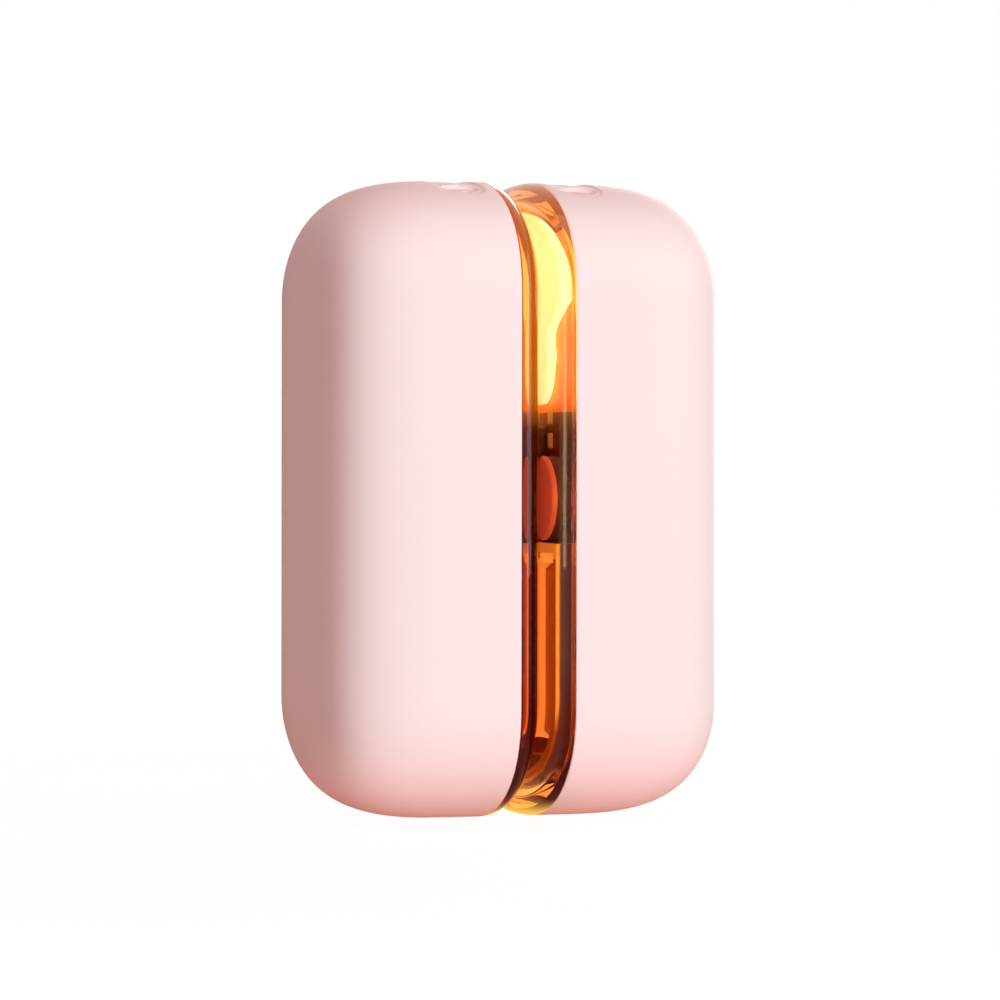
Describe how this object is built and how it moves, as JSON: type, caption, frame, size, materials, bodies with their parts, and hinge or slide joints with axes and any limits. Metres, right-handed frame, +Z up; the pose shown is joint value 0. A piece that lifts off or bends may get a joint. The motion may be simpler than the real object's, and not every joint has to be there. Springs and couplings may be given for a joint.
{
  "type": "rechargeable hand warmer",
  "caption": "Pair of pebble-shaped rechargeable hand warmers with clear covers, joined face to face by magnets, each with a top button and a charging socket below.",
  "frame": {"origin": "middle of the pair, on the surface that it stands on", "axes": "+Z up along the height of the units, X across the pair through both palm sides, Y along the width of a unit; the picture looks along +Y, turned about 17.5 degrees"},
  "size_m": [0.057, 0.051, 0.092],
  "materials": {
    "soft_pink": "soft-touch matt paint",
    "amber_clear": "clear polished, tinted amber",
    "milky_plastic": "moulded, satin",
    "circuit_board": "solder mask, satin",
    "dark_chip": "moulded resin",
    "lamp": "lamp resin",
    "steel": "bright plated",
    "black_plastic": "moulded",
    "heater_film": "amber film with etched copper",
    "cell_foil": "laminated foil",
    "red_wire": "extruded insulation",
    "black_wire": "extruded insulation",
    "magnet_plate": "nickel plated",
    "light_pipe": "clear polished",
    "aluminium_sheet": "pressed, mill finish",
    "foam": "closed-cell foam"
  },
  "bodies": {
    "left_unit": {"left_palm_shell": "soft_pink", "left_clear_cover": "amber_clear", "left_chassis": "milky_plastic", "left_light_panel": "milky_plastic", "left_main_board": "circuit_board", "left_controller_chip": "dark_chip", "left_boost_coil": "dark_chip", "left_night_lamp": "lamp", "left_socket_board": "circuit_board", "left_socket_shell": "steel", "left_socket_tongue": "black_plastic", "left_socket_flex": "heater_film", "left_front_cell": "cell_foil", "left_rear_cell": "cell_foil", "left_red_lead": "red_wire", "left_black_lead": "black_wire", "left_magnet_a": "magnet_plate", "left_magnet_b": "magnet_plate", "left_switch_body": "black_plastic", "left_indicator_pipe": "light_pipe", "left_heat_spreader": "aluminium_sheet", "left_heater_film": "heater_film", "left_thermistor": "black_plastic", "left_foam_pad": "foam", "left_screw_1": "steel", "left_screw_2": "steel", "left_screw_3": "steel"},
    "left_button": {"left_power_button": "soft_pink", "left_switch_plunger": "milky_plastic"},
    "right_unit": {"right_palm_shell": "soft_pink", "right_clear_cover": "amber_clear", "right_chassis": "milky_plastic", "right_light_panel": "milky_plastic", "right_main_board": "circuit_board", "right_controller_chip": "dark_chip", "right_boost_coil": "dark_chip", "right_night_lamp": "lamp", "right_socket_board": "circuit_board", "right_socket_shell": "steel", "right_socket_tongue": "black_plastic", "right_socket_flex": "heater_film", "right_front_cell": "cell_foil", "right_rear_cell": "cell_foil", "right_red_lead": "red_wire", "right_black_lead": "black_wire", "right_magnet_a": "magnet_plate", "right_magnet_b": "magnet_plate", "right_switch_body": "black_plastic", "right_indicator_pipe": "light_pipe", "right_heat_spreader": "aluminium_sheet", "right_heater_film": "heater_film", "right_thermistor": "black_plastic", "right_foam_pad": "foam", "right_screw_1": "steel", "right_screw_2": "steel", "right_screw_3": "steel"},
    "right_button": {"right_power_button": "soft_pink", "right_switch_plunger": "milky_plastic"}
  },
  "joints": [
    {"name": "unit_pull", "type": "slide", "parent": "left_unit", "child": "right_unit", "axis": [1, 0, 0], "range_m": [0, 0.04]},
    {"name": "left_button_press", "type": "slide", "parent": "left_unit", "child": "left_button", "axis": [0, 0, -1], "range_m": [0, 0.00045], "stiffness_N_per_m": 3000, "springref_m": -0.0001},
    {"name": "right_button_press", "type": "slide", "parent": "right_unit", "child": "right_button", "axis": [0, 0, -1], "range_m": [0, 0.00045], "stiffness_N_per_m": 3000, "springref_m": -0.0001}
  ]
}
